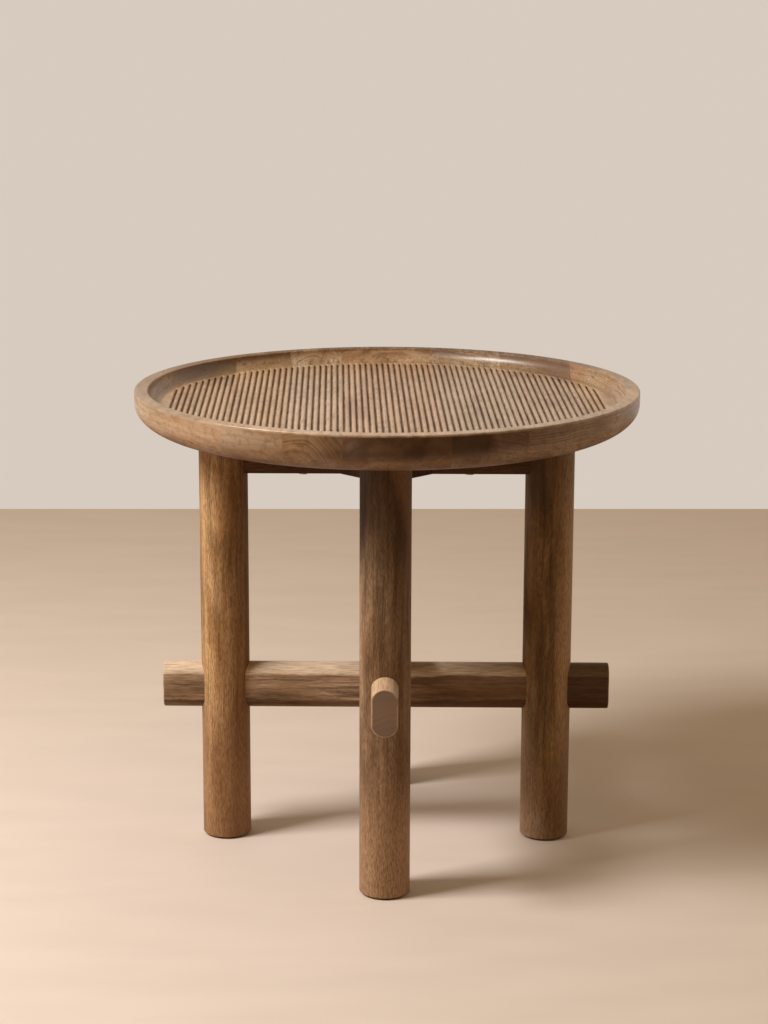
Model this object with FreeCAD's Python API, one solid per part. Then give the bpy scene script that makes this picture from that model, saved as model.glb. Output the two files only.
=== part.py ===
import FreeCAD, Part
import math
import os

# A round side table: a dished tray top with a reeded field, glued up from planks,
# on four round legs joined by through-tenoned bars below and lapped rails above.
# Millimetres. The origin is on the floor under the centre of the top, +Z is up,
# and the front is towards -Y. The planks and the reeds run from front to back.

# Overall
table_height = 468.0
top_diameter = 500.0

# Tray top
tray_thickness = 41.0
tray_depth = 13.7          # from the lip down to the crests of the reeds
lip_width = 13.5
lip_chamfer = 1.2          # on both edges of the lip
cove_width = 12.0          # hollow between the lip and the field
cove_chords = 3
rim_band = 12.0            # upright band of the outer edge
rim_chords = 4             # chords of the swell under the band
underside_margin = 12.1    # flat underside left outside the legs
seam_shares = (-0.625, -0.397, -0.178, 0.215, 0.5, 0.778)   # of the top's radius
tray_turn = 1.4            # degrees, of the planks and reeds from the bar that runs to the front

# Reeds cut into the tray's field
reed_pitch = 6.07
groove_width = 2.0
groove_depth = 2.2
crest_flat = 1.1           # flat left along the crest of each reed
shoulder_drop_share = 0.6  # of the groove's depth, from a reed's crest to its upright side
shoulder_chords = 2
field_margin = 3.0         # plain ring between the cove and the ends of the grooves
side_margin = 7.2          # plain stretch outside the outermost groove

# Legs
leg_diameter = 49.0
leg_setback = 62.1         # from the tray's edge in to the legs
foot_chamfer = 1.8
pad_diameter = 43.0
pad_thickness = 1.5

# Lower bars, with crowned upper and lower faces
bar_width = 25.5
bar_height = 47.4
bar_crown = 10.0           # height of the round part above and below the flat sides
bar_overhang = 38.5        # how far the ends stand out past the legs
bar_end_chamfer = 2.0
lower_bar_clearance = 136.1   # from the floor up to the lower bar
lap_depth = 7.0            # how far the crossing bars sink into each other

# Upper rails, under the tray
rail_width = 25.0
rail_height = 45.0
tenon_thickness = 9.0
tenon_shoulder = 6.0       # wood left above and below the tenon
tenon_depth = 16.0         # into the leg, from the leg's inner side
block_leg = 33.5           # short side of a corner block

# Screws from the rails up into the tray
screw_shank_diameter = 4.5
screw_head_diameter = 9.0
screw_head_height = 2.6
screw_bite = 15.0          # length in the tray
screw_place_share = 0.4    # of the rail's free span, from corner block to leg

# Clearances
glue_line = 0.1            # round a tenon or a shoulder
hole_clearance = 0.1       # round a screw
overrun = 2.0              # how far a cutter passes the face that it cuts

top_radius = top_diameter / 2
leg_radius = leg_diameter / 2
underside = table_height - tray_thickness
field_height = table_height - tray_depth
leg_offset = top_radius - leg_setback - leg_radius   # from the table's axis to each leg's axis
leg_inner_face = leg_offset - leg_radius
leg_places = {
    "left": (-leg_offset, 0),
    "right": (leg_offset, 0),
    "front": (0, -leg_offset),
    "back": (0, leg_offset),
}


def vec(x, y, z):
    return FreeCAD.Vector(x, y, z)


def save(name, shape):
    shape.exportStep(f"parts/{name}.step")


def box(low, high):
    size = high - low
    return Part.makeBox(size.x, size.y, size.z, low)


def upright(radius, x, y, low, high):
    """A cylinder that stands along Z."""
    return Part.makeCylinder(radius, high - low, vec(x, y, low))


def line(start, end):
    return Part.makeLine(vec(start[0], 0, start[1]), vec(end[0], 0, end[1]))


def outline(points):
    """A face in the XZ plane inside a closed run of straight sides."""
    corners = [vec(x, 0, z) for x, z in points]
    return Part.Face(Part.makePolygon(corners + corners[:1]))


def arc(start, middle, end):
    """An arc in the XZ plane through three points."""
    return Part.Arc(*[vec(x, 0, z) for x, z in (start, middle, end)]).toShape()


def quarter(start, corner, end, chords):
    """Points of a quarter ellipse that bulges from start to end towards their corner."""
    points = []
    for step in range(chords + 1):
        turn = math.pi / 2 * step / chords
        from_start = 1 - math.sin(turn)
        from_end = 1 - math.cos(turn)
        points.append([
            c + from_start * (s - c) + from_end * (e - c)
            for s, c, e in zip(start, corner, end)
        ])
    return points


def face_of(edges):
    return Part.Face(Part.Wire(edges))


def turned(points):
    """A solid of revolution about the table's axis."""
    return outline(points).revolve(vec(0, 0, 0), vec(0, 0, 1), 360)


def turn_to_front(shape):
    """A copy of a piece that lies along X, turned to lie along Y."""
    copy = shape.copy()
    copy.rotate(vec(0, 0, 0), vec(0, 0, 1), 90)
    return copy


def tray_blank():
    """The whole tray before its reeds are cut: lip, cove, rim and flat underside."""
    inside = top_radius - lip_width
    flat_radius = leg_offset + leg_radius + underside_margin
    band_low = table_height - rim_band
    edge_low = table_height - lip_chamfer
    swell = quarter((flat_radius, underside), (top_radius, underside), (top_radius, band_low), rim_chords)
    cove_foot = (inside - cove_width, field_height)
    cove = quarter((inside, edge_low), (inside, field_height), cove_foot, cove_chords)
    lip = [
        (top_radius, edge_low),
        (top_radius - lip_chamfer, table_height),
        (inside + lip_chamfer, table_height),
    ]
    return turned([(0, underside)] + swell + lip + cove + [(0, field_height)])


def field_radius():
    """Radius of the circle that the grooves end on."""
    return top_radius - lip_width - cove_width - field_margin


def groove_places():
    """The X place of each groove, spaced evenly about the middle."""
    count = round(2 * (field_radius() - side_margin) / reed_pitch)
    first = -(count - 1) / 2 * reed_pitch
    return [first + row * reed_pitch for row in range(count)]


def groove_cutter(x):
    """One groove with the round shoulders of the reeds beside it, as long as its chord."""
    wall = groove_width / 2
    mouth = (reed_pitch - crest_flat) / 2
    floor = field_height - groove_depth
    bend = field_height - shoulder_drop_share * groove_depth
    above = field_height + overrun
    half_length = math.sqrt(field_radius() ** 2 - x ** 2)
    shoulder = quarter((mouth, field_height), (wall, field_height), (wall, bend), shoulder_chords)
    right = [(mouth, above)] + shoulder + [(wall, floor)]
    left = [(-across, height) for across, height in reversed(right)]
    cutter = outline(right + left)
    cutter.translate(vec(x, -half_length, 0))
    return cutter.extrude(vec(0, 2 * half_length, 0))


def screw_places():
    """The four screws' places: one on each arm of the rail along X and of the rail along Y."""
    block_end = rail_width / 2 + block_leg
    reach = block_end + screw_place_share * (leg_inner_face - block_end)
    return [(-reach, 0), (reach, 0)], [(0, -reach), (0, reach)]


def tray_planks():
    """The planks of the tray, each between two glue lines, turned and then drilled."""
    blank = tray_blank()
    seams = [-top_radius - overrun]
    seams += [share * top_radius for share in seam_shares]
    seams += [top_radius + overrun]
    grooves = [(x, groove_cutter(x)) for x in groove_places()]
    along, across = screw_places()
    holes = [screw_hole(x, y) for x, y in along + across]
    planks = []
    for low, high in zip(seams, seams[1:]):
        reach = top_radius + overrun
        slab = box(vec(low, -reach, underside - overrun), vec(high, reach, table_height + overrun))
        near = reed_pitch
        cutters = [cutter for x, cutter in grooves if low - near < x < high + near]
        plank = blank.common(slab).cut(cutters)
        plank.rotate(vec(0, 0, 0), vec(0, 0, 1), tray_turn)
        planks.append(plank.cut(holes))
    return planks


def crowned(width, height, low, length):
    """A bar along X with flat sides and crowned upper and lower faces."""
    half = width / 2
    high = low + height
    side_low = low + bar_crown
    side_high = high - bar_crown
    profile = face_of([
        arc((half, side_high), (0, high), (-half, side_high)),
        line((-half, side_high), (-half, side_low)),
        arc((-half, side_low), (0, low), (half, side_low)),
        line((half, side_low), (half, side_high)),
    ])
    profile.rotate(vec(0, 0, 0), vec(0, 0, 1), 90)
    profile.translate(vec(-length / 2, 0, 0))
    return profile.extrude(vec(length, 0, 0))


def bar_lows():
    """Heights of the undersides of the bar along X and of the bar that crosses it."""
    return lower_bar_clearance, lower_bar_clearance + bar_height - lap_depth


def through_bar(low):
    """A through bar along X. Its end edges are chamfered, the upright ones before the round ones."""
    length = 2 * (leg_offset + leg_radius + bar_overhang)
    bar = crowned(bar_width, bar_height, low, length)
    for curve in (Part.Line, Part.Circle):
        flat = [edge for edge in bar.Edges if edge.BoundBox.XLength < glue_line]
        ends = [edge for edge in flat if isinstance(edge.Curve, curve)]
        bar = bar.makeChamfer(bar_end_chamfer, ends)
    return bar


def lower_bars():
    """The two crossing bars, each notched for half of the lap."""
    low_x, low_y = bar_lows()
    seat = low_y + lap_depth / 2
    half = bar_width / 2 + glue_line
    notch_over = box(vec(-half, -half, seat), vec(half, half, seat + lap_depth))
    notch_under = box(vec(-half, -half, seat - lap_depth), vec(half, half, seat))
    along = through_bar(low_x).cut(notch_over)
    across = turn_to_front(through_bar(low_y)).cut(notch_under)
    return along, across


def bar_mortise(low):
    """The hole through a leg for a bar along X."""
    length = 2 * (leg_offset + leg_diameter)
    width = bar_width + 2 * glue_line
    height = bar_height + 2 * glue_line
    return crowned(width, height, low - glue_line, length)


def tenon(clearance):
    """The tongues at both ends of a rail along X, or their mortises if given a clearance."""
    reach = leg_inner_face + tenon_depth + clearance
    half = tenon_thickness / 2 + clearance
    low = underside - rail_height + tenon_shoulder - clearance
    high = underside - tenon_shoulder + clearance
    return box(vec(-reach, -half, low), vec(reach, half, high))


def screw_hole(x, y):
    """The hole for a screw, up through a rail and into the tray."""
    radius = screw_shank_diameter / 2 + hole_clearance
    low = underside - rail_height - overrun
    return upright(radius, x, y, low, underside + screw_bite + hole_clearance)


def rail_blank():
    """A rail along X: coped to the round legs, with a tenon at each end."""
    half = rail_width / 2
    low = underside - rail_height
    body = box(vec(-leg_offset, -half, low), vec(leg_offset, half, underside))
    cope_radius = leg_radius + glue_line
    for x in (-leg_offset, leg_offset):
        body = body.cut(upright(cope_radius, x, 0, low - overrun, underside + overrun))
    return body.fuse(tenon(0)).removeSplitter()


def upper_rails():
    """The two crossing rails, half-lapped at the middle and drilled for the screws."""
    half = rail_width / 2
    middle = underside - rail_height / 2
    notch_over = box(vec(-half, -half, middle), vec(half, half, underside + overrun))
    notch_under = box(vec(-half, -half, underside - rail_height - overrun), vec(half, half, middle))
    places_along, places_across = screw_places()
    along = rail_blank().cut([notch_over] + [screw_hole(x, y) for x, y in places_along])
    blank_across = turn_to_front(rail_blank())
    across = blank_across.cut([notch_under] + [screw_hole(x, y) for x, y in places_across])
    return along, across


def corner_block(side_x, side_y):
    """A three-cornered block in the angle between the rails, flush above and below."""
    near = rail_width / 2
    far = near + block_leg
    low = underside - rail_height
    corners = [(near, near), (far, near), (near, far), (near, near)]
    points = [vec(side_x * x, side_y * y, low) for x, y in corners]
    return Part.Face(Part.makePolygon(points)).extrude(vec(0, 0, rail_height))


def leg(x, y):
    """A round leg with a chamfered foot, the mortise for its bar and the one for its rail."""
    post = upright(leg_radius, x, y, pad_thickness, underside)
    rim = [edge for edge in post.Edges if edge.BoundBox.ZMax < pad_thickness + glue_line]
    post = post.makeChamfer(foot_chamfer, rim)
    low_x, low_y = bar_lows()
    if y == 0:
        return post.cut([bar_mortise(low_x), tenon(glue_line)])
    return post.cut([turn_to_front(bar_mortise(low_y)), turn_to_front(tenon(glue_line))])


def rail_screw(x, y):
    """A plain-shanked screw with its head under the rail and its end up in the tray."""
    seat = underside - rail_height
    head_low = seat - screw_head_height
    shank_radius = screw_shank_diameter / 2
    head_radius = screw_head_diameter / 2
    tip = underside + screw_bite
    screw = turned([
        (0, head_low),
        (head_radius, head_low),
        (head_radius, seat),
        (shank_radius, seat),
        (shank_radius, tip),
        (0, tip),
    ])
    screw.translate(vec(x, y, 0))
    return screw


def main():
    os.makedirs("parts", exist_ok=True)
    for number, plank in enumerate(tray_planks(), start=1):
        save(f"top_plank_{number}", plank)
    bar_along, bar_across = lower_bars()
    save("bar_side_to_side", bar_along)
    save("bar_front_to_back", bar_across)
    rail_along, rail_across = upper_rails()
    save("rail_side_to_side", rail_along)
    save("rail_front_to_back", rail_across)
    for depth_name, side_y in (("front", -1), ("back", 1)):
        for side_name, side_x in (("left", -1), ("right", 1)):
            save(f"corner_block_{depth_name}_{side_name}", corner_block(side_x, side_y))
    for place, (x, y) in leg_places.items():
        save(f"leg_{place}", leg(x, y))
        save(f"foot_pad_{place}", upright(pad_diameter / 2, x, y, 0, pad_thickness))
    places_along, places_across = screw_places()
    screws = [rail_screw(x, y) for x, y in places_along + places_across]
    save("rail_screws", Part.makeCompound(screws))


main()
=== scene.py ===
import math

import bmesh
import bpy
from mathutils import Matrix, Vector


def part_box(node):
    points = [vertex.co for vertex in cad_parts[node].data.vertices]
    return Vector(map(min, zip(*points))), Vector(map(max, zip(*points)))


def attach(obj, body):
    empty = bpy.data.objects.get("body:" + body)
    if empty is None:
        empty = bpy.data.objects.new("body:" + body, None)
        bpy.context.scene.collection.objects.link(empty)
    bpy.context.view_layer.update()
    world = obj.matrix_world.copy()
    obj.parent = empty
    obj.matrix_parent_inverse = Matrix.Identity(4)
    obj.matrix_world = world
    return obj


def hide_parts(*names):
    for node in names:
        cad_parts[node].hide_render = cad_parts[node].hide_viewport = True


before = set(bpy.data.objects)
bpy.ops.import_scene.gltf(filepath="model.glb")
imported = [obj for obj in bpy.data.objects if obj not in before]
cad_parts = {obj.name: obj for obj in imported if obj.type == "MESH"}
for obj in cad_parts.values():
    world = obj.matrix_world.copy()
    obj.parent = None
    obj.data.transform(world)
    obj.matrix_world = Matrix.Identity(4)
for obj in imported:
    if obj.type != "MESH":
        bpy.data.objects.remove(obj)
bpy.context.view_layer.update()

# The looks of a round side table in satin-finished hardwood. Metres, in the frame of the packed
# part: the origin is on the floor under the centre of the top, +Z is up, the front is towards -Y.

# Tray
tray_depth = 0.0137          # from the lip down to the crests of the reeds
lip_width = 0.0135
lip_round = 0.0014
cove_width = 0.012
rim_band = 0.012             # upright band of the outer edge
underside_margin = 0.0121    # flat underside left outside the legs
seam_shares = (-0.625, -0.397, -0.178, 0.215, 0.5, 0.778)   # of the top's radius
tray_turn = 1.4              # degrees, of the planks and reeds from the bar that runs to the front
rim_segments = 720
swell_steps = 28
lip_steps = 6
cove_steps = 20

# Wear of the lip, from 0 to 1, with a painted highlight growing towards the front, paling towards the
# right, and painted shade on its far side
lip_wear = 0.5
lip_paling_to_right = 0.1
lip_highlight_to_front = 0.45
far_lip_painted_shade = 0.9

# Reeds cut into the tray's field
reed_pitch = 0.00607
groove_width = 0.0020
groove_depth = 0.0022
crest_flat = 0.0005
shoulder_drop_share = 0.6
groove_taper = 0.009         # length of the pointed end of a groove
field_margin = 0.0003        # plain ring between the cove and the ends of the grooves
side_margin = 0.0099         # plain stretch outside the outermost groove
shoulder_steps = 8
groove_foot_steps = 3
groove_end_steps = 10

# Legs and their felt pads
leg_names = ("left", "right", "front", "back")
leg_segments = 256
foot_round = 0.0018
foot_steps = 6
pad_edge_share = 1 / 3       # of a pad's thickness, rounded above and below
pad_edge_steps = 3
pad_segments = 128

# Bars and joints
bar_crown = 0.010            # height of the round part above and below the flat sides
bar_end_round = 0.0016
bar_end_wear_and_highlight_rise = 3        # how fast the wear and painted highlight set in over a rounded end
bar_end_steps = 12
crown_steps = 24
joint_gap = 0.0001
tenon_thickness = 0.009
tenon_shoulder = 0.006
tenon_depth = 0.016

# Angles past which an edge is shaded as sharp
crease_angle = math.radians(32)
bar_crease_angle = math.radians(12)

# Camera
camera_place = (0.0092, -2.3966, 0.8925)
camera_dip = 12.98           # degrees below level
camera_turn = 1.09           # degrees to the left
camera_lens = 86.08          # millimetres
camera_sensor = 36           # millimetres
camera_shift = 0.0331        # of the frame's longer side

# Lamp, seen from the table
lamp_distance = 2.1
lamp_level = 1.06            # at 1, white that faces the lamp renders white
lamp_to_front = 23           # degrees, from the left towards the front
lamp_up = 44                 # degrees
lamp_width = 0.65
lamp_height = 0.6
lamp_color = (1.0, 0.99, 0.98)
lamp_aim = (0, 0, 0.25)

# Floor
floor_reach = 4.0
floor_end = 1.498            # the foot of the wall behind


def spot(node):
    """Middle and size of a node's box."""
    low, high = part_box(node)
    return (low + high) / 2, high - low


leg_middle, leg_size = spot("leg_right")
leg_radius = leg_size.y / 2
leg_offset = leg_middle.x
bar_middle, bar_size = spot("bar_side_to_side")
high_bar_middle, high_bar_size = spot("bar_front_to_back")
rail_middle, rail_size = spot("rail_side_to_side")
plank_low, plank_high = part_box("top_plank_4")     # the middle plank reaches the near and far edge
underside, tray_top = plank_low.z, plank_high.z
top_radius = plank_high.y
field_height = tray_top - tray_depth
field_radius = top_radius - lip_width - cove_width
groove_mouth = (reed_pitch - crest_flat) / 2


# Meshes

def quarter(start, corner, end, steps):
    """Points of a quarter ellipse that bulges from start to end towards their corner."""
    points = []
    for step in range(steps + 1):
        turn = math.pi / 2 * step / steps
        from_start = 1 - math.sin(turn)
        from_end = 1 - math.cos(turn)
        sides = zip(start, corner, end)
        points.append([c + from_start * (s - c) + from_end * (e - c) for s, c, e in sides])
    return points


def circle(radius, count, centre=(0, 0)):
    """Points of a circle, anticlockwise."""
    x, y = centre
    turns = [2 * math.pi * step / count for step in range(count)]
    return [(x + radius * math.cos(turn), y + radius * math.sin(turn)) for turn in turns]


def skin(bm, ring, next_ring):
    """A band of quads between two closed rings with as many vertices."""
    for step, vert in enumerate(ring):
        bm.faces.new((ring[step - 1], vert, next_ring[step], next_ring[step - 1]))


def crease(bm, angle):
    """Smooth faces, with sharp edges where they meet at an angle."""
    for face in bm.faces:
        face.smooth = True
    for edge in bm.edges:
        if len(edge.link_faces) != 2 or edge.calc_face_angle() > angle:
            edge.smooth = False


def add_piece(name, bm, material, node, angle=crease_angle):
    """A piece of the table that rides on its body and stands for a CAD node."""
    crease(bm, angle)
    mesh = bpy.data.meshes.new(name)
    bm.to_mesh(mesh)
    bm.free()
    mesh.materials.append(material)
    piece = bpy.data.objects.new(name, mesh)
    bpy.context.collection.objects.link(piece)
    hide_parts(node)
    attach(piece, "root")


def cut(bm, cutter):
    """Takes a closed cutter out of a closed body, and frees the cutter."""
    meshes = []
    for form in (bm, cutter):
        bmesh.ops.recalc_face_normals(form, faces=form.faces[:])
        mesh = bpy.data.meshes.new("form")
        form.to_mesh(mesh)
        meshes.append(mesh)
    body, tool = [bpy.data.objects.new("form", mesh) for mesh in meshes]
    for form in (body, tool):
        bpy.context.collection.objects.link(form)
    step = body.modifiers.new("cut", "BOOLEAN")
    step.operation = "DIFFERENCE"
    step.solver = "EXACT"
    step.object = tool
    scene_now = bpy.context.evaluated_depsgraph_get()
    result = bpy.data.meshes.new_from_object(body.evaluated_get(scene_now))
    bm.clear()
    bm.from_mesh(result)
    cutter.free()
    for form in (body, tool):
        bpy.data.objects.remove(form)
    for mesh in meshes + [result]:
        bpy.data.meshes.remove(mesh)


def block(low, high):
    """A closed box between two corners."""
    bm = bmesh.new()
    bmesh.ops.create_cube(bm, size=1)
    size = Vector(high) - Vector(low)
    middle = (Vector(high) + Vector(low)) / 2
    for vert in bm.verts:
        vert.co = middle + Vector(a * b for a, b in zip(vert.co, size))
    return bm


def turned_form(profile, segments, centre):
    """A closed round body about an upright axis, from the radii and heights of its profile."""
    bm = bmesh.new()
    last = None
    for radius, height in profile:
        ring = [bm.verts.new((x, y, height)) for x, y in circle(radius, segments, centre)]
        if last:
            skin(bm, last, ring)
        else:
            bm.faces.new(reversed(ring))
        last = ring
    bm.faces.new(last)
    return bm


# Tray top

def tray_profile():
    """Radius, height, and wear with painted highlight, of the tray's skin, from the underside round to the
    field.
    """
    inside = top_radius - lip_width
    flat_radius = leg_offset + leg_radius + underside_margin
    lip_foot = tray_top - lip_round
    swell = quarter(
        (flat_radius, underside), (top_radius, underside), (top_radius, tray_top - rim_band), swell_steps)
    outer = quarter(
        (top_radius, lip_foot), (top_radius, tray_top), (top_radius - lip_round, tray_top), lip_steps)
    inner = quarter((inside + lip_round, tray_top), (inside, tray_top), (inside, lip_foot), lip_steps)
    cove = quarter((inside, lip_foot), (inside, field_height), (field_radius, field_height), cove_steps)
    wear_and_highlight_start = (top_radius, tray_top - 2 * lip_round, 0.0)
    points = [(radius, height, 0.0) for radius, height in swell]
    points.append(wear_and_highlight_start)
    points += [(radius, height, 1.0) for radius, height in outer + inner]
    points += [(radius, height, 0.0) for radius, height in cove[1:]]
    return points


def groove_outline(x, half_length, radius):
    """The closed line at one distance from a groove's centre line, with pointed ends."""
    tip = groove_taper - groove_mouth + radius
    points = []
    for end, start in ((half_length, 0), (-half_length, math.pi)):
        for step in range(groove_end_steps + 1):
            turn = start + math.pi * step / groove_end_steps
            points.append((x + radius * math.cos(turn), end + tip * math.sin(turn)))
    return points


def groove_section():
    """Distance from the centre line, and height, from a reed's crest down to the groove's floor."""
    wall = groove_width / 2
    corner = wall / 2
    bend = field_height - shoulder_drop_share * groove_depth
    floor = field_height - groove_depth
    shoulder = quarter((groove_mouth, field_height), (wall, field_height), (wall, bend), shoulder_steps)
    foot = quarter((wall, floor + corner), (wall, floor), (corner, floor), groove_foot_steps)
    return shoulder + foot


def groove_places():
    """The X place and half length of each groove, without its pointed ends."""
    reach = field_radius - field_margin
    count = round(2 * (reach - side_margin) / reed_pitch)
    for row in range(count):
        x = (row - (count - 1) / 2) * reed_pitch
        yield x, math.sqrt(reach ** 2 - (abs(x) + groove_mouth / 2) ** 2) - groove_taper


def whole_tray():
    """The closed skin of the tray before it is sawn into its planks.

    Its vertices carry their wear, with painted highlights on the lip and on the crests of the reeds,
    and painted shade in the grooves and on the far lip.
    """
    bm = bmesh.new()
    wear_and_highlight = bm.verts.layers.float.new("wear_and_highlight")
    painted_shade = bm.verts.layers.float.new("painted_shade")
    rings = []
    for radius, height, worn_and_lit in tray_profile():
        ring = [bm.verts.new((x, y, height)) for x, y in circle(radius, rim_segments)]
        for vert in ring:
            x, y, _ = vert.co
            # The lip's wear, with a painted highlight towards the front and painted shade on the far lip
            rubbed_and_lit = lip_wear + lip_paling_to_right * x / top_radius - lip_highlight_to_front * y / top_radius
            vert[wear_and_highlight] = worn_and_lit * rubbed_and_lit
            vert[painted_shade] = worn_and_lit * max(0, far_lip_painted_shade * y / top_radius)
        if rings:
            skin(bm, rings[-1], ring)
        rings.append(ring)
    bm.faces.new(reversed(rings[0]))
    edge_loops = [rings[-1]]
    section = groove_section()
    for x, half_length in groove_places():
        last = None
        for radius, height in section:
            ring = [bm.verts.new((*point, height)) for point in groove_outline(x, half_length, radius)]
            depth = (field_height - height) / groove_depth
            # Painted shade deepens down each groove, and a painted highlight pales the crests of the
            # reeds.
            for vert in ring:
                vert[painted_shade] = depth
                vert[wear_and_highlight] = 1 - depth
            if last:
                skin(bm, last, ring)
            else:
                edge_loops.append(ring)
            last = ring
        bm.faces.new(last)
    rims = []
    for loop in edge_loops:
        for step, vert in enumerate(loop):
            rims.append(bm.edges.get((loop[step - 1], vert)))
    bmesh.ops.triangle_fill(bm, edges=rims, use_beauty=True, normal=(0, 0, 1))
    bmesh.ops.recalc_face_normals(bm, faces=bm.faces[:])
    return bm


def sawn(tray, low, high):
    """The tray between two places along X, closed with flat sides where these are glue lines."""
    plank = tray.copy()
    for x, side in ((low, -1), (high, 1)):
        if abs(x) >= top_radius - lip_round:
            continue
        everything = plank.verts[:] + plank.edges[:] + plank.faces[:]
        found = bmesh.ops.bisect_plane(
            plank, geom=everything, plane_co=(x, 0, 0), plane_no=(side, 0, 0), clear_outer=True)
        edges = [item for item in found["geom_cut"] if isinstance(item, bmesh.types.BMEdge)]
        bmesh.ops.triangle_fill(plank, edges=edges, use_beauty=True, normal=(side, 0, 0))
    bmesh.ops.recalc_face_normals(plank, faces=plank.faces[:])
    return plank


def add_tray(materials):
    """The seven planks of the tray, turned together to their direction."""
    tray = whole_tray()
    seams = [-top_radius] + [share * top_radius for share in seam_shares] + [top_radius]
    turn = Matrix.Rotation(math.radians(tray_turn), 3, "Z")
    for number, (low, high) in enumerate(zip(seams, seams[1:]), start=1):
        plank = sawn(tray, low, high)
        bmesh.ops.rotate(plank, verts=plank.verts[:], matrix=turn)
        material = materials[number - 1]
        add_piece(f"tray_board_{number}", plank, material, f"top_plank_{number}")
    tray.free()


# Lower frame

def bar_outline(width, height, inset):
    """A bar's section, crowned above and below, moved in by an inset."""
    half = width / 2
    radius = (half ** 2 + bar_crown ** 2) / (2 * bar_crown)
    centre = height / 2 - radius
    reach = math.acos((half - inset) / (radius - inset))
    points = []
    for side in (1, -1):
        for step in range(crown_steps + 1):
            turn = reach + (math.pi - 2 * reach) * step / crown_steps
            across = (radius - inset) * math.cos(turn)
            up = centre + (radius - inset) * math.sin(turn)
            points.append((side * across, side * up))
    return points


def bar_form(length, width, height, rounding):
    """A closed bar along X about the origin, its end edges rounded, worn and paler with a painted
    highlight.
    """
    bm = bmesh.new()
    wear_and_highlight = bm.verts.layers.float.new("wear_and_highlight")
    half = length / 2
    stations = [(0, half)]
    if rounding:
        stations = quarter((rounding, half), (0, half), (0, half - rounding), bar_end_steps)
    last = None
    for side in (1, -1):
        for inset, along in stations if side == 1 else reversed(stations):
            ring = [bm.verts.new((side * along, y, z)) for y, z in bar_outline(width, height, inset)]
            if rounding:
                # Wear and a painted highlight pale the rounded end edges.
                worn_and_lit = min(1, inset / rounding * bar_end_wear_and_highlight_rise) if inset < rounding else 0
                for vert in ring:
                    vert[wear_and_highlight] = worn_and_lit
            if last:
                skin(bm, last, ring)
            else:
                bm.faces.new(ring)
            last = ring
    bm.faces.new(reversed(last))
    bmesh.ops.recalc_face_normals(bm, faces=bm.faces[:])
    return bm


def set_down(bm, middle, quarter_turn):
    """Moves a form that lies along X to its place, turned to lie along Y if asked."""
    for vert in bm.verts:
        x, y, z = vert.co
        vert.co = middle + (Vector((-y, x, z)) if quarter_turn else Vector((x, y, z)))
    return bm


def add_bars(along_material, across_material):
    """The two lower bars, notched to lap over each other where they cross."""
    width, height = bar_size.y, bar_size.z
    half = width / 2 + joint_gap
    seat = (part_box("bar_front_to_back")[0].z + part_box("bar_side_to_side")[1].z) / 2
    along = set_down(bar_form(bar_size.x, width, height, bar_end_round), bar_middle, False)
    cut(along, block((-half, -half, seat), (half, half, seat + height)))
    add_piece(
        "low_bar_side_to_side", along, along_material, "bar_side_to_side", bar_crease_angle)
    across = set_down(bar_form(high_bar_size.y, width, height, bar_end_round), high_bar_middle, True)
    cut(across, block((-half, -half, seat - height), (half, half, seat)))
    add_piece(
        "low_bar_front_to_back", across, across_material, "bar_front_to_back", bar_crease_angle)


def add_leg(place, material):
    """A round leg, carved for its bar and for the tenon of its rail."""
    node = f"leg_{place}"
    middle, size = spot(node)
    low, high = middle.z - size.z / 2, middle.z + size.z / 2
    profile = quarter(
        (leg_radius - foot_round, low), (leg_radius, low), (leg_radius, low + foot_round), foot_steps)
    profile.append((leg_radius, high))
    leg = turned_form(profile, leg_segments, (middle.x, middle.y))
    across = place in ("front", "back")
    bar_height = high_bar_middle.z if across else bar_middle.z
    hole_length = 4 * leg_radius
    hole = bar_form(hole_length, bar_size.y + 2 * joint_gap, bar_size.z + 2 * joint_gap, 0)
    cut(leg, set_down(hole, Vector((middle.x, middle.y, bar_height)), across))
    # The mortise's cutter reaches a tenon's depth into the leg from its inner side.
    reach = 2 * tenon_depth
    half_thickness = tenon_thickness / 2 + joint_gap
    half_height = rail_size.z / 2 - tenon_shoulder + joint_gap
    mortise = block((-reach, -half_thickness, -half_height), (reach, half_thickness, half_height))
    inward = 1 - (tenon_depth + leg_radius) / leg_offset
    cut(leg, set_down(mortise, Vector((middle.x * inward, middle.y * inward, rail_middle.z)), across))
    add_piece(f"round_leg_{place}", leg, material, node)


def add_pad(place, material):
    """A felt disc with a soft edge under a leg."""
    node = f"foot_pad_{place}"
    middle, size = spot(node)
    radius, thickness = size.x / 2, size.z
    edge = pad_edge_share * thickness
    lower = quarter((radius - edge, 0), (radius, 0), (radius, edge), pad_edge_steps)
    upper = quarter(
        (radius, thickness - edge), (radius, thickness), (radius - edge, thickness), pad_edge_steps)
    pad = turned_form(lower + upper, pad_segments, (middle.x, middle.y))
    add_piece(f"felt_disc_{place}", pad, material, node)


# Materials

per_metre = 1000.0           # the materials count in millimetres
seed_step = 977.0            # how far along the grain the woods of two seeds lie apart
leg_pith = (9.0, 30.0)       # how far the pith lies from a leg's axis, in X and Y
rust_tint = (1.05, 0.88, 0.64)
bump_strength = 0.6
coat_roughness = 0.32
along_x, along_y, along_z = (1, 0, 0), (0, 1, 0), (0, 0, 1)

# Two axes across the grain, then the one along it
grain_orders = {"x": "yzx", "y": "xzy", "z": "xyz"}


def tone(red, green, blue):
    """A linear colour from its 8-bit display values."""
    levels = [value / 255 for value in (red, green, blue)]
    linear = [v / 12.92 if v <= 0.04045 else ((v + 0.055) / 1.055) ** 2.4 for v in levels]
    return (*linear, 1.0)


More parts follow.
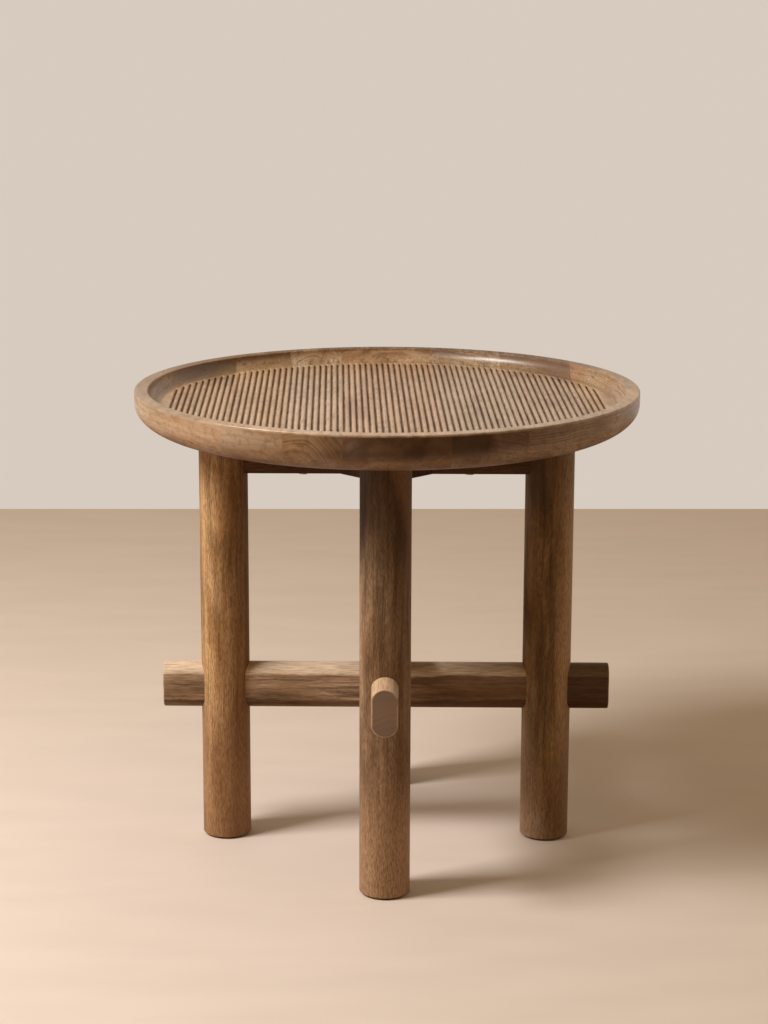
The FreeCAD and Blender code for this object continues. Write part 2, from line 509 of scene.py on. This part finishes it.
class Graph:
    """Builds the nodes and links of a material or a world."""

    def __init__(self, owner):
        self.owner = owner
        owner.use_nodes = True
        self.tree = owner.node_tree
        self.tree.nodes.clear()

    def node(self, kind, inputs=None, **settings):
        """A node, with the values or links of its inputs."""
        made = self.tree.nodes.new(kind)
        for key, value in settings.items():
            setattr(made, key, value)
        for key, value in (inputs or {}).items():
            if isinstance(value, bpy.types.NodeSocket):
                self.tree.links.new(value, made.inputs[key])
            else:
                made.inputs[key].default_value = value
        return made

    def math(self, operation, first, second=0.0):
        return self.node("ShaderNodeMath", {0: first, 1: second}, operation=operation).outputs[0]

    def vector(self, operation, first, second):
        return self.node("ShaderNodeVectorMath", {0: first, 1: second}, operation=operation).outputs[0]

    def part(self, vector, letter):
        """One coordinate of a vector."""
        return self.node("ShaderNodeSeparateXYZ", {0: vector}).outputs["xyz".index(letter)]

    def millimetres(self):
        """The place in the table's frame."""
        place = self.node("ShaderNodeTexCoord").outputs["Object"]
        return self.vector("MULTIPLY", place, (per_metre, per_metre, per_metre))

    def spread(self, value, low, high, out_low=0.0, out_high=1.0):
        """Stretches a range of values over another, with soft ends."""
        inputs = {"Value": value, "From Min": low, "From Max": high, "To Min": out_low, "To Max": out_high}
        return self.node("ShaderNodeMapRange", inputs, interpolation_type="SMOOTHSTEP").outputs[0]

    def mix(self, share, first, second):
        return self.node("ShaderNodeMix", {0: share, 6: first, 7: second}, data_type="RGBA").outputs[2]

    def layer(self, color, mask, strength, over):
        """A second colour laid over the first where a mask is, at a strength."""
        return self.mix(self.math("MULTIPLY", mask, strength), color, over)

    def noise(self, place, across, along, detail=2, roughness=0.5, output="Fac"):
        """Noise in lumps of one width across the grain and one length along it."""
        scaled = self.vector("MULTIPLY", place, (1 / across, 1 / across, 1 / along))
        inputs = {"Vector": scaled, "Scale": 1.0, "Detail": detail, "Roughness": roughness}
        return self.node("ShaderNodeTexNoise", inputs).outputs[output]

    def lumps(self, place, across, along, detail, low, high, roughness=0.5, **levels):
        """Noise cut to lumps with soft edges, which set in between two of its levels."""
        return self.spread(self.noise(place, across, along, detail, roughness), low, high, **levels)

    def wander(self, place, across, along, detail, reach):
        """The shift that noise gives to a place, to either side by up to about half of a reach."""
        noise = self.noise(place, across, along, detail, output="Color")
        return self.vector("MULTIPLY", self.vector("SUBTRACT", noise, (0.5, 0.5, 0.5)), reach)

    def finish(self, color, roughness, height, depth, coat=0.0, metallic=0.0, specular=0.2):
        """The shader of a surface, with fine relief of a depth in metres."""
        bump_inputs = {"Height": height, "Strength": bump_strength, "Distance": depth}
        inputs = {
            "Base Color": color,
            "Roughness": roughness,
            "Normal": self.node("ShaderNodeBump", bump_inputs).outputs[0],
            "Metallic": metallic,
            "Specular IOR Level": specular,
            "Coat Weight": coat,
            "Coat Roughness": coat_roughness,
        }
        shader = self.node("ShaderNodeBsdfPrincipled", inputs)
        self.node("ShaderNodeOutputMaterial", {0: shader.outputs[0]})
        return self.owner


def wood(name, grain, pith, ring, seed, pale, brown, dark, end,
         streaks=0.5, fibres=0.5, flecks=0.6, layers=0.5, patches=0.0, end_rings=0.5, mottles=0.4,
         end_clouds=0.3, rusts=0.0, coat=0.12, fibre_length=17, zones=(), end_zones=()):
    """Hardwood with rings about a pith line, streaks, fibres and pores all through the solid.

    The pith is two places across the grain. A zone is a direction, two places along it, a share and
    a tone: the surface takes on the tone between the two places, up to that share. Zones give both
    wood tone and painted light and shade. From streaks to rusts, each share says how strongly one kind
    of mark shows.
    """
    g = Graph(bpy.data.materials.new(name))
    place = g.millimetres()
    axes = [g.part(place, axis) for axis in grain_orders[grain]]
    in_grain = g.node("ShaderNodeCombineXYZ", dict(enumerate(axes))).outputs[0]
    solid = g.vector("ADD", in_grain, (0.0, 0.0, seed_step * seed))
    sway = g.wander(solid, across=45, along=260, detail=2, reach=(16.0, 16.0, 0.0))
    bent = g.vector("ADD", solid, sway)

    from_pith = g.vector("MULTIPLY", g.vector("SUBTRACT", bent, (*pith, 0.0)), (1.0, 1.0, 0.0))
    distance = g.node("ShaderNodeVectorMath", {0: from_pith}, operation="LENGTH").outputs["Value"]
    ring_inputs = {"W": g.math("DIVIDE", distance, ring), "Scale": 1.0, "Detail": 3.0, "Roughness": 0.6}
    ring_noise = g.node("ShaderNodeTexNoise", ring_inputs, noise_dimensions="1D").outputs[0]
    ring_mask = g.spread(ring_noise, 0.38, 0.66)

    cloud = g.lumps(bent, across=26, along=120, detail=3, low=0.36, high=0.64)
    streak = g.lumps(bent, across=3.6, along=120, detail=5, low=0.50, high=0.66, roughness=0.65)
    pore = g.lumps(bent, across=0.9, along=8, detail=1, low=0.60, high=0.68)
    mottle = g.lumps(bent, across=7, along=11, detail=4, low=0.46, high=0.66, roughness=0.6)
    patch = g.lumps(bent, across=13, along=90, detail=4, low=0.48, high=0.62, roughness=0.6)
    rust = g.lumps(bent, across=10, along=24, detail=4, low=0.52, high=0.66, roughness=0.6)
    fibre = g.noise(bent, across=0.9, along=fibre_length, detail=3, roughness=0.7)

    # End grain shows where the surface faces along the grain. Less of it shows where the surface also
    # looks up, which is painted light on upward faces: they take the side-grain colour.
    normal = g.node("ShaderNodeNewGeometry").outputs["Normal"]
    upward = g.part(normal, "z")
    facing = g.math("ABSOLUTE", g.part(normal, grain))
    painted_upward_light = g.math("MULTIPLY", g.math("MAXIMUM", upward, 0.0), 0.6)
    end_grain = g.spread(g.math("SUBTRACT", facing, painted_upward_light), 0.35, 0.95)

    ragged = g.wander(solid, across=14, along=60, detail=3, reach=(12.0, 12.0, 12.0))
    zone_place = g.vector("ADD", place, ragged)

    def zoned(color, layout):
        for direction, start, stop, share, zone_tone in layout:
            reach = g.node("ShaderNodeVectorMath", {0: zone_place, 1: direction}, operation="DOT_PRODUCT")
            color = g.mix(g.spread(reach.outputs["Value"], start, stop, 0.0, share), color, zone_tone)
        return color

    side = g.mix(cloud, brown, pale)
    side = g.layer(side, ring_mask, layers, brown)
    side = g.layer(side, patch, patches, dark)
    side = g.layer(side, streak, streaks, dark)
    side = g.layer(side, pore, flecks, dark)
    side = g.mix(g.spread(fibre, 0.35, 0.62, fibres, 0.0), zoned(side, zones), dark)
    cross = g.layer(zoned(end, end_zones), cloud, end_clouds, brown)
    cross = g.layer(cross, ring_mask, end_rings, dark)
    cross = g.layer(cross, mottle, mottles, dark)
    color = g.mix(end_grain, side, cross)
    color = g.layer(color, rust, rusts, g.vector("MULTIPLY", color, rust_tint))

    # Wear, with painted highlights on the lip, the crests and the rounded bar ends, pales the colour.
    wear_and_highlight = g.node("ShaderNodeAttribute", attribute_name="wear_and_highlight").outputs["Fac"]
    rubbed_and_lit = g.lumps(solid, across=9, along=14, detail=2, low=0.3, high=0.7, out_low=0.2, out_high=0.7)
    color = g.layer(color, wear_and_highlight, rubbed_and_lit, pale)
    # Painted shade darkens the grooves and the far lip, in torn patches.
    painted_shade = g.node("ShaderNodeAttribute", attribute_name="painted_shade").outputs["Fac"]
    torn = g.lumps(bent, across=1.5, along=40, detail=3, low=0.44, high=0.62, out_low=0.15, out_high=0.8)
    color = g.layer(color, painted_shade, torn, dark)

    # End grain, grooves and undersides have less varnish on them.
    soaked = g.math("SUBTRACT", g.math("MULTIPLY", end_grain, 0.8), wear_and_highlight)
    below = g.spread(upward, -0.7, 0.0, 0.9, 0.0)
    bare = g.math("MAXIMUM", g.math("MAXIMUM", painted_shade, soaked), below)
    varnish = g.spread(bare, 0.0, 1.0, coat, 0.0)
    roughness = g.spread(fibre, 0.3, 0.75, 0.4, 0.6)
    relief = g.math("SUBTRACT", g.math("MULTIPLY", fibre, 0.5), pore)
    return g.finish(color, roughness, relief, depth=0.0002, coat=varnish, specular=0.1)


def felt():
    """Short matted fibres."""
    g = Graph(bpy.data.materials.new("felt_fibre"))
    fluff = g.noise(g.millimetres(), across=0.35, along=0.35, detail=4, roughness=0.7)
    color = g.mix(g.spread(fluff, 0.3, 0.7), tone(48, 36, 28), tone(92, 74, 60))
    return g.finish(color, g.spread(fluff, 0.2, 0.8, 0.9, 1.0), fluff, depth=0.0003)


def steel():
    """Zinc-plated screws, lightly mottled."""
    g = Graph(bpy.data.materials.new("plated_steel"))
    mottle = g.noise(g.millimetres(), across=1.2, along=1.2, detail=4, roughness=0.6)
    color = g.mix(g.spread(mottle, 0.3, 0.7), tone(150, 146, 138), tone(196, 192, 182))
    return g.finish(color, g.spread(mottle, 0.3, 0.7, 0.25, 0.45), mottle, depth=0.00005, metallic=1.0)


def board_materials():
    """The wood of the tray's seven planks, left to right, each from its own board."""
    boards = [
        {
            "pith": (-210, 250), "ring": 4.0, "end_rings": 0.2,
            "pale": tone(200, 168, 132), "brown": tone(162, 128, 94), "dark": tone(104, 68, 38),
            "end": tone(184, 151, 121),
            "zones": [
                (along_y, 70, 115, 0.65, tone(98, 78, 60)),
                (along_z, 463, 468, 0.6, tone(118, 92, 67)),
            ],
            "end_zones": [(along_y, 30, 100, 0.8, tone(90, 76, 63))],
        },
        {
            "pith": (-130, 330), "ring": 5.0, "end_rings": 0.2,
            "pale": tone(208, 174, 138), "brown": tone(168, 132, 96), "dark": tone(96, 63, 35),
            "end": tone(176, 149, 125),
            "zones": [(along_y, 155, 185, 0.3, tone(110, 84, 62))],
            "end_zones": [
                (along_x, -160, -90, 0.6, tone(136, 108, 78)),
                (along_y, 80, 180, 0.7, tone(102, 85, 74)),
            ],
        },
        {
            "pith": (-81, 436), "ring": 3.4,
            "pale": tone(212, 184, 154), "brown": tone(172, 140, 110), "end": tone(152, 118, 82),
            "end_zones": [
                (along_x, -90, -36, 0.7, tone(88, 64, 42)),
                (along_y, 80, 180, 0.85, tone(200, 164, 126)),
            ],
        },
        {
            "pith": (10, 380), "ring": 6.0, "end_clouds": 0.2,
            "pale": tone(206, 172, 140), "brown": tone(168, 132, 100), "end": tone(60, 37, 14),
            "end_zones": [
                (along_x, 2, -36, 0.7, tone(112, 90, 74)),
                (along_y, 80, 180, 0.85, tone(188, 150, 112)),
            ],
        },
        {
            "pith": (70, 350), "ring": 6.0, "end_clouds": 0.15,
            "pale": tone(200, 174, 146), "brown": tone(162, 134, 106), "end": tone(50, 28, 5),
            "end_zones": [
                (along_x, 92, 104, 0.85, tone(128, 103, 83)),
                (along_y, 80, 180, 0.8, tone(182, 154, 134)),
            ],
        },
        {
            "pith": (150, -900), "ring": 2.2, "layers": 0.9,
            "pale": tone(202, 174, 146), "brown": tone(162, 132, 104), "end": tone(138, 118, 102),
            "zones": [((1, 0.5, 0), 222, 250, 0.85, tone(114, 82, 58))],
            "end_zones": [
                (along_x, 170, 120, 0.4, tone(104, 80, 60)),
                ((1, 0.5, 0), 222, 250, 0.8, tone(104, 72, 48)),
            ],
        },
        {
            "pith": (215, -900), "ring": 1.9, "layers": 1.0,
            "pale": tone(210, 178, 142), "brown": tone(160, 124, 88), "end": tone(140, 125, 112),
            "zones": [((-1, 0.4, 0), -165, -150, 0.45, tone(150, 96, 52))],
            "end_zones": [(along_y, 90, 130, 0.5, tone(160, 100, 52))],
        },
    ]
    # Painted shade: darker towards the foot of the rim, and on the far lip.
    painted_shade_under_and_far = [
        (along_z, 447, 431, 0.8, tone(80, 51, 28)),
        ((0, 0.02, 1), 470, 472.5, 0.6, tone(112, 84, 60)),
    ]
    shared = {"streaks": 0.6, "rusts": 0.55, "coat": 1.0}
    made = []
    for number, board in enumerate(boards, start=1):
        board["zones"] = board.get("zones", []) + painted_shade_under_and_far
        board["end_zones"] += painted_shade_under_and_far
        board.setdefault("dark", tone(84, 55, 31))
        made.append(wood(f"board_wood_{number}", "y", seed=number, **shared, **board))
    return made


def leg_materials():
    """The wood of the four legs, each with darker and paler stretches: some wood tone, and painted light
    and shade where the tray shadows the tops and the lamp and the light from the right fall on the sides.
    """
    looks = {
        # Darker on the right half, away from the lamp: painted shade. Greyer low down.
        "left": {
            "pale": tone(214, 170, 121), "brown": tone(166, 121, 75), "dark": tone(66, 40, 14),
            "zones": [
                (along_x, -174, -146, 0.55, tone(104, 68, 30)),
                (along_z, 190, 70, 0.6, tone(156, 114, 80)),
            ],
        },
        # Painted light at the top of the right edge, lit from the right, and paler low down.
        # Painted shade on the right half, and painted tray shadow over the top and its left side.
        "front": {
            "pale": tone(182, 148, 115), "brown": tone(136, 102, 71), "dark": tone(44, 26, 10),
            "zones": [
                (along_x, -12, 10, 0.4, tone(92, 60, 28)),
                (along_z, 270, 385, 0.68, tone(56, 32, 6)),
                ((-1, 0, 0.25), 100, 122, 0.5, tone(40, 20, 2)),
                ((1, 0, 0.25), 104, 120, 0.8, tone(138, 100, 64)),
                (along_z, 160, 50, 0.75, tone(182, 142, 106)),
            ],
        },
        # Painted light: paler on the right side, lit from the right, and on the lower left.
        # Painted tray shadow over the top, and darker on the lower right.
        "right": {
            "pale": tone(152, 113, 66), "brown": tone(114, 81, 42), "dark": tone(46, 27, 6),
            "zones": [
                (along_x, 164, 184, 0.75, tone(196, 158, 120)),
                (along_z, 310, 390, 0.3, tone(56, 33, 10)),
                ((1, 0, -0.3), 134, 164, 0.45, tone(88, 56, 26)),
                ((1, 0, 0.3), 188, 156, 0.75, tone(180, 145, 114)),
            ],
        },
        "back": {"pale": tone(160, 122, 84), "brown": tone(126, 90, 58), "dark": tone(60, 38, 18)},
    }
    made = {}
    for number, (place, look) in enumerate(looks.items(), start=11):
        middle, _ = spot(f"leg_{place}")
        pith = [per_metre * axis + away for axis, away in zip(middle, leg_pith)]
        made[place] = wood(
            f"leg_wood_{place}", "z", pith, ring=3.2, seed=number, end=look["brown"],
            streaks=0.4, flecks=0.3, patches=0.35, fibre_length=6, **look)
    return made


def bar_materials():
    """The wood of the two lower bars: pale above the upper crease, painted light on the tops that is
    partly paler wood; darker below the lower crease, painted shade; and darker to the right.
    """
    look = {
        "pale": tone(202, 168, 136), "brown": tone(150, 118, 88), "dark": tone(44, 24, 6),
        "ring": 3.0, "fibres": 0.4, "flecks": 0.3, "patches": 0.4, "mottles": 0.0,
    }
    low_crease, high_crease = [
        per_metre * (middle.z + bar_size.z / 2 - bar_crown) for middle in (bar_middle, high_bar_middle)]
    low_edge = per_metre * (bar_middle.z - bar_size.z / 2 + bar_crown)
    along = wood("bar_wood_along", "x", pith=(14, 120), seed=21, **look, end=tone(92, 60, 36), zones=[
        (along_x, -10, 50, 0.6, tone(98, 62, 26)),
        # Paler above the upper crease: painted light on the top, partly paler wood.
        (along_z, low_crease - 1.5, low_crease + 2.0, 0.9, tone(236, 208, 178)),
        (along_x, 20, 120, 0.2, tone(112, 80, 50)),
        (along_x, 150, 190, 0.75, tone(64, 36, 10)),
        # Darker below the lower crease: painted shade.
        (along_z, low_edge + 1.5, low_edge - 1.5, 0.65, tone(72, 39, 3)),
    ])
    # Its pale band above the upper crease is a painted highlight.
    across = wood(
        "bar_wood_across", "y", pith=(10, 150), seed=22, **look, end=tone(126, 104, 88), end_rings=0.1,
        zones=[(along_z, high_crease - 1.0, high_crease + 2.0, 0.8, tone(230, 192, 154))])
    return along, across


# Upper frame

def dress(node, material):
    """Gives a CAD node a new material."""
    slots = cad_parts[node].data.materials
    slots.clear()
    slots.append(material)


def dress_upper_frame():
    """The rails, corner blocks and screws keep their CAD shapes and get new materials."""
    # Darker than the other wood: painted shade, where the rails and corner blocks sit under the tray.
    look = {
        "pale": tone(104, 68, 38), "brown": tone(80, 49, 24), "dark": tone(40, 22, 8),
        "end": tone(96, 62, 34), "ring": 3.0,
    }
    dress("rail_side_to_side", wood("rail_wood_x", "x", pith=(20, 300), seed=31, **look))
    dress("rail_front_to_back", wood("rail_wood_y", "y", pith=(20, 300), seed=32, **look))
    block_wood = wood("block_wood", "z", pith=(30, 40), seed=35, **look)
    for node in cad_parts:
        if node.startswith("corner_block"):
            dress(node, block_wood)
    dress("rail_screws", steel())


# Camera, light and floor

def add_camera():
    """The photograph's view."""
    camera = bpy.data.objects.new("camera", bpy.data.cameras.new("camera"))
    bpy.context.collection.objects.link(camera)
    camera.location = camera_place
    camera.rotation_euler = (math.radians(90 - camera_dip), 0, math.radians(camera_turn))
    camera.data.lens = camera_lens
    camera.data.sensor_width = camera_sensor
    camera.data.shift_x = camera_shift
    bpy.context.scene.camera = camera
    bpy.context.scene.view_settings.view_transform = "Standard"


def add_lamp():
    """One large soft light from the left."""
    side, height = math.radians(lamp_to_front), math.radians(lamp_up)
    direction = Vector((
        -math.cos(side) * math.cos(height),
        -math.sin(side) * math.cos(height),
        math.sin(height),
    ))
    lamp = bpy.data.lights.new("window", "AREA")
    lamp.shape = "RECTANGLE"
    lamp.size = lamp_width
    lamp.size_y = lamp_height
    lamp.energy = lamp_level * (math.pi * lamp_distance) ** 2
    lamp.color = lamp_color
    window = bpy.data.objects.new("window", lamp)
    bpy.context.collection.objects.link(window)
    window.location = direction * lamp_distance + Vector(lamp_aim)
    window.rotation_euler = direction.to_track_quat("Z", "Y").to_euler()


def add_surround():
    """A dim warm room with a pale wall behind the table, which is all that the camera sees of it."""
    wall = tone(215, 203, 191)
    low_room = (0.07, 0.045, 0.02, 1.0)
    left_room = (0.28, 0.18, 0.05, 1.0)
    right_room = (0.44, 0.34, 0.24, 1.0)
    world = bpy.data.worlds.new("surround")
    bpy.context.scene.world = world
    g = Graph(world)
    way = g.node("ShaderNodeLightPath").outputs
    seen = g.math("MAXIMUM", way["Is Camera Ray"], way["Is Transmission Ray"])
    heading = g.node("ShaderNodeTexCoord").outputs["Generated"]
    rightward, backward, upward = [g.part(heading, axis) for axis in "xyz"]
    above = g.mix(g.spread(rightward, 0.3, 0.8), left_room, right_room)
    around = g.mix(g.spread(upward, 0.1, 0.45), low_room, above)
    behind = g.math("MULTIPLY", g.spread(backward, -0.05, 0.05), g.spread(upward, 0.6, 0.75, 1.0, 0.0))
    behind = g.math("MULTIPLY", behind, g.spread(way["Is Glossy Ray"], 0.0, 1.0, 1.0, 0.85))
    color = g.mix(seen, g.mix(behind, around, wall), wall)
    background = g.node("ShaderNodeBackground", {"Color": color})
    g.node("ShaderNodeOutputWorld", {0: background.outputs[0]})


def add_floor():
    """A plain pale floor that ends at the foot of the wall."""
    mesh = bpy.data.meshes.new("floor")
    corners = [
        (-floor_reach, -floor_reach, 0),
        (floor_reach, -floor_reach, 0),
        (floor_reach, floor_end, 0),
        (-floor_reach, floor_end, 0),
    ]
    mesh.from_pydata(corners, [], [(0, 1, 2, 3)])
    floor = bpy.data.objects.new("floor", mesh)
    floor.rotation_euler.z = math.radians(camera_turn)
    bpy.context.collection.objects.link(floor)
    g = Graph(bpy.data.materials.new("floor_paint"))
    stretched = g.vector("MULTIPLY", g.node("ShaderNodeTexCoord").outputs["Object"], (0.3, 1.0, 1.0))
    drift = g.noise(stretched, across=0.05, along=0.05, detail=3)
    color = g.mix(g.spread(drift, 0.3, 0.7), tone(222, 205, 192), tone(226, 209, 196))
    mesh.materials.append(g.finish(color, g.spread(drift, 0.3, 0.7, 0.6, 0.7), drift, depth=0.0001))


def main():
    add_floor()
    add_camera()
    add_lamp()
    add_surround()
    add_tray(board_materials())
    for place, material in leg_materials().items():
        add_leg(place, material)
    cloth = felt()
    for place in leg_names:
        add_pad(place, cloth)
    add_bars(*bar_materials())
    dress_upper_frame()


main()
